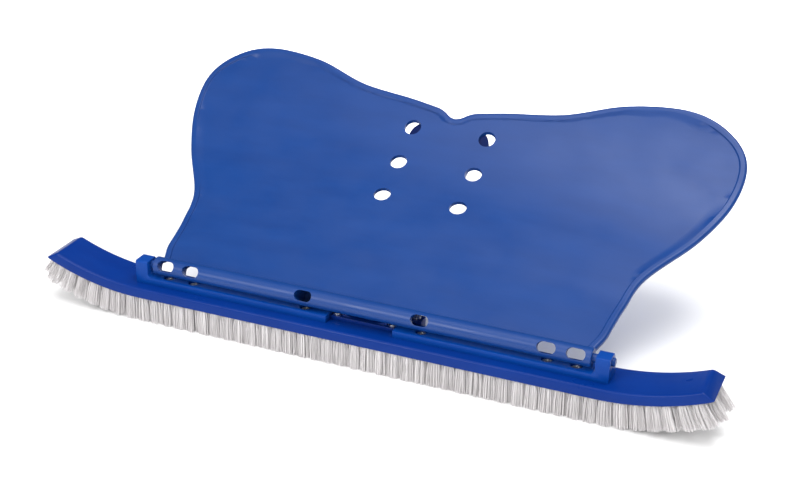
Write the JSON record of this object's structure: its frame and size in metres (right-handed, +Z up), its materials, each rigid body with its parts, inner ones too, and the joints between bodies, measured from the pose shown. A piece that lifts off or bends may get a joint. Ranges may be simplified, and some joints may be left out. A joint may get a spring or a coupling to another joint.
{
  "type": "pool wall brush",
  "caption": "Long curved pool brush with a hinged butterfly-shaped fin and a spring-clip handle for a telescopic pole.",
  "frame": {"origin": "middle of the bristle-tip plane, at the end of the centre tuft", "axes": "+X along the brush, +Y to the back where the handle leaves, +Z up from the bristle tips"},
  "size_m": [0.4836, 0.2087, 0.1429],
  "materials": {
    "blue_plastic": "moulded, slight gloss",
    "fin_plastic": "moulded, satin face with a glossy rim",
    "handle_plastic": "moulded, slight gloss",
    "bristle_nylon": "white nylon filament",
    "steel": "stainless, brushed",
    "rest_rubber": "soft moulded rubber, matt"
  },
  "bodies": {
    "brush": {"brush_back": "blue_plastic", "tuft_row_1": "bristle_nylon", "tuft_row_2": "bristle_nylon", "tuft_row_3": "bristle_nylon", "tuft_row_4": "bristle_nylon", "tuft_row_5": "bristle_nylon", "tuft_staples": "steel", "rail_left": "blue_plastic", "rail_right": "blue_plastic", "rail_screws_left": "steel", "rail_screws_right": "steel", "pole_handle": "handle_plastic", "handle_screws": "steel", "clip_fold": "steel"},
    "fin": {"fin": "fin_plastic", "pole_rest": "rest_rubber"},
    "clip_left": {"clip_leg_left": "steel", "clip_button_left": "steel"},
    "clip_right": {"clip_leg_right": "steel", "clip_button_right": "steel"}
  },
  "joints": [
    {"name": "fin_hinge", "type": "hinge", "parent": "brush", "child": "fin", "pos_m": [0, -0.00065, 0.0375], "axis": [1, 0, 0], "range_deg": [0, 125]},
    {"name": "clip_left_press", "type": "hinge", "parent": "brush", "child": "clip_left", "pos_m": [-0.0036, 0.11561, 0.06509], "axis": [0, 0.3811, -0.9245], "range_deg": [0, 4.6], "stiffness_Nm_per_rad": 6.7, "springref_deg": -2.86},
    {"name": "clip_right_press", "type": "hinge", "parent": "brush", "child": "clip_right", "pos_m": [0.0036, 0.11561, 0.06509], "axis": [0, -0.3811, 0.9245], "range_deg": [0, 4.6], "stiffness_Nm_per_rad": 6.7, "springref_deg": -2.86}
  ]
}
